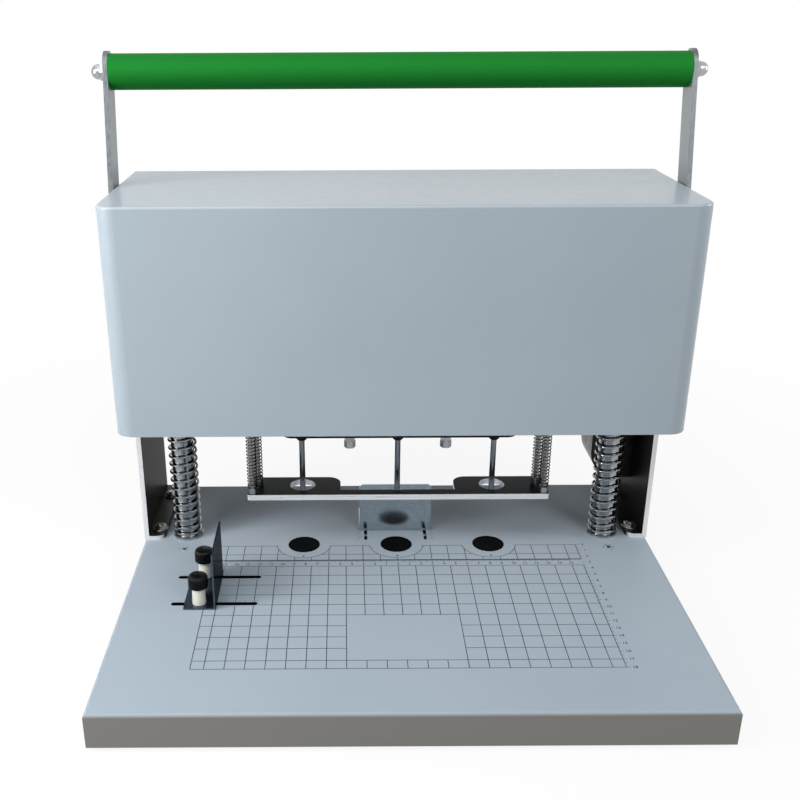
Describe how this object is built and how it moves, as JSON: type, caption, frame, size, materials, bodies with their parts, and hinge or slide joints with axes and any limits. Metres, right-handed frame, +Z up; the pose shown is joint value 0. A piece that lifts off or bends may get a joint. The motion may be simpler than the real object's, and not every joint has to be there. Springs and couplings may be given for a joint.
{
  "type": "electric_hole_punch",
  "caption": "Desktop paper drill with powered bits in a sliding head under a sheet-metal cover, drawn down by a hand lever over a flat table with paper gauges.",
  "frame": {"origin": "on the surface that the feet rest on, under the middle of the base in X and Y", "axes": "+X to the user's right, +Y away from the user, +Z up; the user stands at -Y"},
  "size_m": [0.495, 0.354, 0.4469],
  "materials": {
    "plate_steel": "bare rolled steel plate with bright cut edges",
    "coated_sheet": "smooth pale blue-grey powder coat",
    "dark_plate": "blackened steel",
    "bright_plate": "polished sheet steel",
    "clamp_steel": "dark steel with bright machined edges",
    "machined_steel": "bright machined steel",
    "spring_steel": "bright plated wire and bits",
    "dark_spring": "oiled spring wire",
    "chrome_column": "ground and chromed",
    "bronze": "sintered bearing bronze",
    "green_anodised": "satin green anodised tube",
    "black_plastic": "moulded, fine grain",
    "white_plastic": "cream-white moulded",
    "motor_case": "dark grey enamel",
    "rubber": "moulded"
  },
  "bodies": {
    "frame": {"base_tray": "coated_sheet", "bottom_plate": "dark_plate", "rubber_feet": "rubber", "column_blocks": "machined_steel", "guide_columns": "chrome_column", "column_collars": "machined_steel", "return_springs": "spring_steel", "pad_bar": "machined_steel", "cutting_pads": "black_plastic", "left_upright": "plate_steel", "right_upright": "plate_steel", "base_fasteners": "machined_steel", "pivot_bearings": "bronze", "top_brace": "machined_steel", "cover": "coated_sheet", "cover_fasteners": "machined_steel", "rear_panel": "coated_sheet", "electrical_box": "black_plastic", "power_inlet": "black_plastic"},
    "switch": {"rocker_switch": "black_plastic"},
    "head": {"carriage_plate": "machined_steel", "gear_plate": "dark_plate", "head_fasteners": "machined_steel", "carriage_bushes": "bronze", "spindle_bearings": "bronze", "idler_axles": "machined_steel", "racks": "machined_steel", "motor": "motor_case", "clamp_springs": "dark_spring"},
    "clamp": {"clamp_plate": "clamp_steel", "clamp_rods": "machined_steel", "clamp_nuts": "machined_steel"},
    "left_bit": {"left_spindle": "machined_steel", "left_chuck": "dark_plate", "left_drill": "spring_steel"},
    "centre_bit": {"centre_spindle": "machined_steel", "centre_chuck": "dark_plate", "centre_drill": "spring_steel"},
    "right_bit": {"right_spindle": "machined_steel", "right_chuck": "dark_plate", "right_drill": "spring_steel"},
    "left_idler_body": {"left_idler": "machined_steel"},
    "right_idler_body": {"right_idler": "machined_steel"},
    "lay_body": {"lay_gear": "machined_steel"},
    "rotor": {"motor_pinion": "machined_steel"},
    "lever": {"left_arm": "machined_steel", "right_arm": "machined_steel", "handle_tube": "green_anodised", "handle_plugs": "black_plastic", "tie_rod": "machined_steel", "lever_fasteners": "spring_steel", "cross_shaft": "machined_steel", "rack_pinions": "machined_steel"},
    "side_gauge_body": {"side_gauge": "bright_plate", "gauge_posts": "white_plastic", "gauge_nuts": "machined_steel"},
    "front_knob_body": {"front_knob": "black_plastic"},
    "rear_knob_body": {"rear_knob": "black_plastic"},
    "back_gauge_body": {"back_gauge": "bright_plate", "back_gauge_screws": "machined_steel"}
  },
  "joints": [
    {"name": "lever_hinge", "type": "hinge", "parent": "frame", "child": "lever", "pos_m": [0, 0.081, 0.242], "axis": [1, 0, 0], "range_deg": [0, 90.1]},
    {"name": "head_slide", "type": "slide", "parent": "frame", "child": "head", "axis": [0, 0, -1], "range_m": [0, 0.0535], "stiffness_N_per_m": 2500, "springref_m": -0.05, "deforming": ["return_springs"]},
    {"name": "clamp_slide", "type": "slide", "parent": "head", "child": "clamp", "axis": [0, 0, 1], "range_m": [0, 0.048], "stiffness_N_per_m": 1200, "springref_m": -0.015, "deforming": ["clamp_springs"]},
    {"name": "centre_spin", "type": "hinge", "parent": "head", "child": "centre_bit", "pos_m": [0, 0.057, 0.16], "axis": [0, 0, 1], "continuous": true},
    {"name": "left_spin", "type": "hinge", "parent": "head", "child": "left_bit", "pos_m": [-0.0825, 0.057, 0.16], "axis": [0, 0, 1], "continuous": true},
    {"name": "right_spin", "type": "hinge", "parent": "head", "child": "right_bit", "pos_m": [0.0825, 0.057, 0.16], "axis": [0, 0, 1], "continuous": true},
    {"name": "left_idler_spin", "type": "hinge", "parent": "head", "child": "left_idler_body", "pos_m": [-0.04125, 0.057, 0.16], "axis": [0, 0, 1], "continuous": true},
    {"name": "right_idler_spin", "type": "hinge", "parent": "head", "child": "right_idler_body", "pos_m": [0.04125, 0.057, 0.16], "axis": [0, 0, 1], "continuous": true},
    {"name": "lay_spin", "type": "hinge", "parent": "head", "child": "lay_body", "pos_m": [0, 0.0945, 0.16], "axis": [0, 0, 1], "continuous": true},
    {"name": "motor_spin", "type": "hinge", "parent": "head", "child": "rotor", "pos_m": [0, 0.1245, 0.16], "axis": [0, 0, 1], "continuous": true},
    {"name": "side_gauge_slide", "type": "slide", "parent": "frame", "child": "side_gauge_body", "axis": [1, 0, 0], "range_m": [-0.02, 0.044]},
    {"name": "front_knob_turn", "type": "hinge", "parent": "side_gauge_body", "child": "front_knob_body", "pos_m": [-0.164, -0.039, 0.05], "axis": [0, 0, 1], "continuous": true},
    {"name": "rear_knob_turn", "type": "hinge", "parent": "side_gauge_body", "child": "rear_knob_body", "pos_m": [-0.164, 0.002, 0.05], "axis": [0, 0, 1], "continuous": true},
    {"name": "back_gauge_slide", "type": "slide", "parent": "frame", "child": "back_gauge_body", "axis": [0, 1, 0], "range_m": [-0.011, 0.025]},
    {"name": "rocker_turn", "type": "hinge", "parent": "frame", "child": "switch", "pos_m": [0.204, 0.167, 0.132], "axis": [1, 0, 0], "range_deg": [0, 14]}
  ],
  "couplings": [
    {"joint": "head_slide", "follows": "lever_hinge", "m_per_rad": 0.034},
    {"joint": "motor_spin", "follows": "centre_spin", "ratio": 1.6},
    {"joint": "lay_spin", "follows": "centre_spin", "ratio": -1.1429},
    {"joint": "left_idler_spin", "follows": "centre_spin", "ratio": -0.94118},
    {"joint": "right_idler_spin", "follows": "centre_spin", "ratio": -0.94118},
    {"joint": "left_spin", "follows": "centre_spin", "ratio": 1},
    {"joint": "right_spin", "follows": "centre_spin", "ratio": 1}
  ]
}
